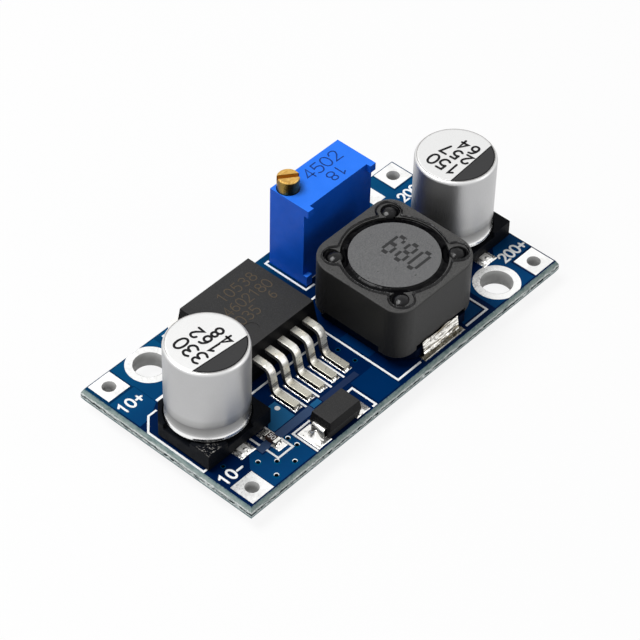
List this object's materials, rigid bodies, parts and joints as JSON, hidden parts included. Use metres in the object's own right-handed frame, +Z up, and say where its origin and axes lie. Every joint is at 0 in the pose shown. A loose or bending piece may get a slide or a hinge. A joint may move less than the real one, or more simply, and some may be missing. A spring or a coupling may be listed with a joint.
{
  "type": "buck converter module",
  "caption": "Adjustable step-down power module: blue circuit board with regulator, diode, shielded inductor, can capacitors and a multiturn trimmer.",
  "frame": {"origin": "under the middle of the board, level with the tips of the trimmer pins", "axes": "+X from the input end to the output end, +Y from the diode's edge to the trimmer's edge, +Z up through the parts"},
  "size_m": [0.0434, 0.0216, 0.0138],
  "materials": {
    "solder_mask": "satin blue solder mask over glass laminate",
    "tin_plate": "bright tin plating",
    "solder": "bright reflowed solder",
    "lead_frame": "tinned copper, satin",
    "moulding": "black moulded epoxy",
    "ferrite": "dark grey fired ferrite, matt",
    "copper_wire": "enamelled copper wire",
    "glue": "black cured glue, glossy",
    "can_aluminium": "satin drawn aluminium",
    "base_plastic": "black moulded plastic",
    "trimmer_plastic": "bright blue moulded plastic",
    "screw_brass": "turned brass",
    "resistor_ceramic": "black coated ceramic"
  },
  "bodies": {
    "module": {"circuit_board": "solder_mask", "wire_pads": "tin_plate", "mounting_rings": "tin_plate", "via_barrels": "tin_plate", "pin_barrels": "tin_plate", "component_pads": "tin_plate", "regulator_body": "moulding", "regulator_tab": "lead_frame", "regulator_lead_1": "lead_frame", "regulator_lead_2": "lead_frame", "regulator_lead_4": "lead_frame", "regulator_lead_5": "lead_frame", "regulator_solder": "solder", "diode_body": "moulding", "diode_strap_input_side": "lead_frame", "diode_strap_output_side": "lead_frame", "diode_solder": "solder", "inductor_shield": "ferrite", "inductor_core": "ferrite", "inductor_winding": "copper_wire", "inductor_glue": "glue", "inductor_base": "base_plastic", "inductor_clip_front": "lead_frame", "inductor_clip_back": "lead_frame", "inductor_solder": "solder", "trimmer_housing": "trimmer_plastic", "trimmer_pin_1": "lead_frame", "trimmer_pin_2": "lead_frame", "trimmer_pin_3": "lead_frame", "trimmer_solder": "solder", "resistor_body": "resistor_ceramic", "resistor_ends": "tin_plate", "resistor_solder": "solder", "input_capacitor_can": "can_aluminium", "input_capacitor_base": "base_plastic", "input_capacitor_lead_front": "lead_frame", "input_capacitor_lead_back": "lead_frame", "input_capacitor_solder": "solder", "output_capacitor_can": "can_aluminium", "output_capacitor_base": "base_plastic", "output_capacitor_lead_front": "lead_frame", "output_capacitor_lead_back": "lead_frame", "output_capacitor_solder": "solder"},
    "adjusting_screw": {"trimmer_screw": "screw_brass"}
  },
  "joints": [
    {"name": "screw_turn", "type": "hinge", "parent": "module", "child": "adjusting_screw", "pos_m": [0.00355, 0.00825, 0.0123], "axis": [0, 0, 1], "continuous": true}
  ]
}
